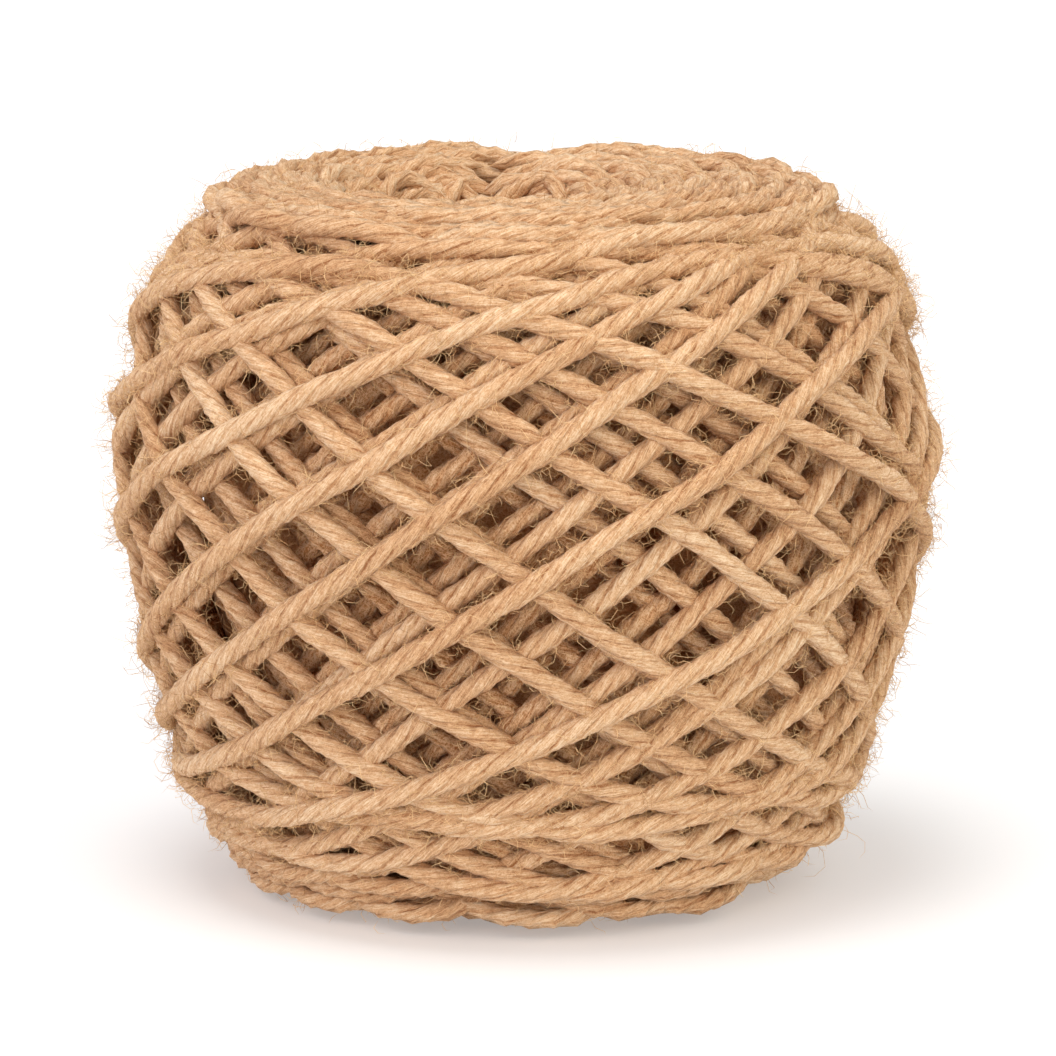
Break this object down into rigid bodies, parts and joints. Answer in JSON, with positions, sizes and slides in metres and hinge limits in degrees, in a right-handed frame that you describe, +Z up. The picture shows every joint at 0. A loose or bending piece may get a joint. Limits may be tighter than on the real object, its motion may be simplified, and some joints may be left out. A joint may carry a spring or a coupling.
{
  "type": "ball of merino yarn",
  "caption": "Cross-wound centre-pull ball of thick plied merino yarn, with an open middle, rounded shoulders and a small flat spot to rest on.",
  "frame": {"origin": "in the resting plane, under the middle of the ball's outline", "axes": "+Z up along the winding axis, +X to the right and -Y towards the viewer of the pictured front"},
  "size_m": [0.089, 0.0888, 0.0758],
  "materials": {
    "wool_yarn": "soft plied merino wool, matt and fuzzy, warm tan with brown shadows between the strands"
  },
  "bodies": {
    "root": {"yarn_ball": "wool_yarn"}
  },
  "joints": []
}
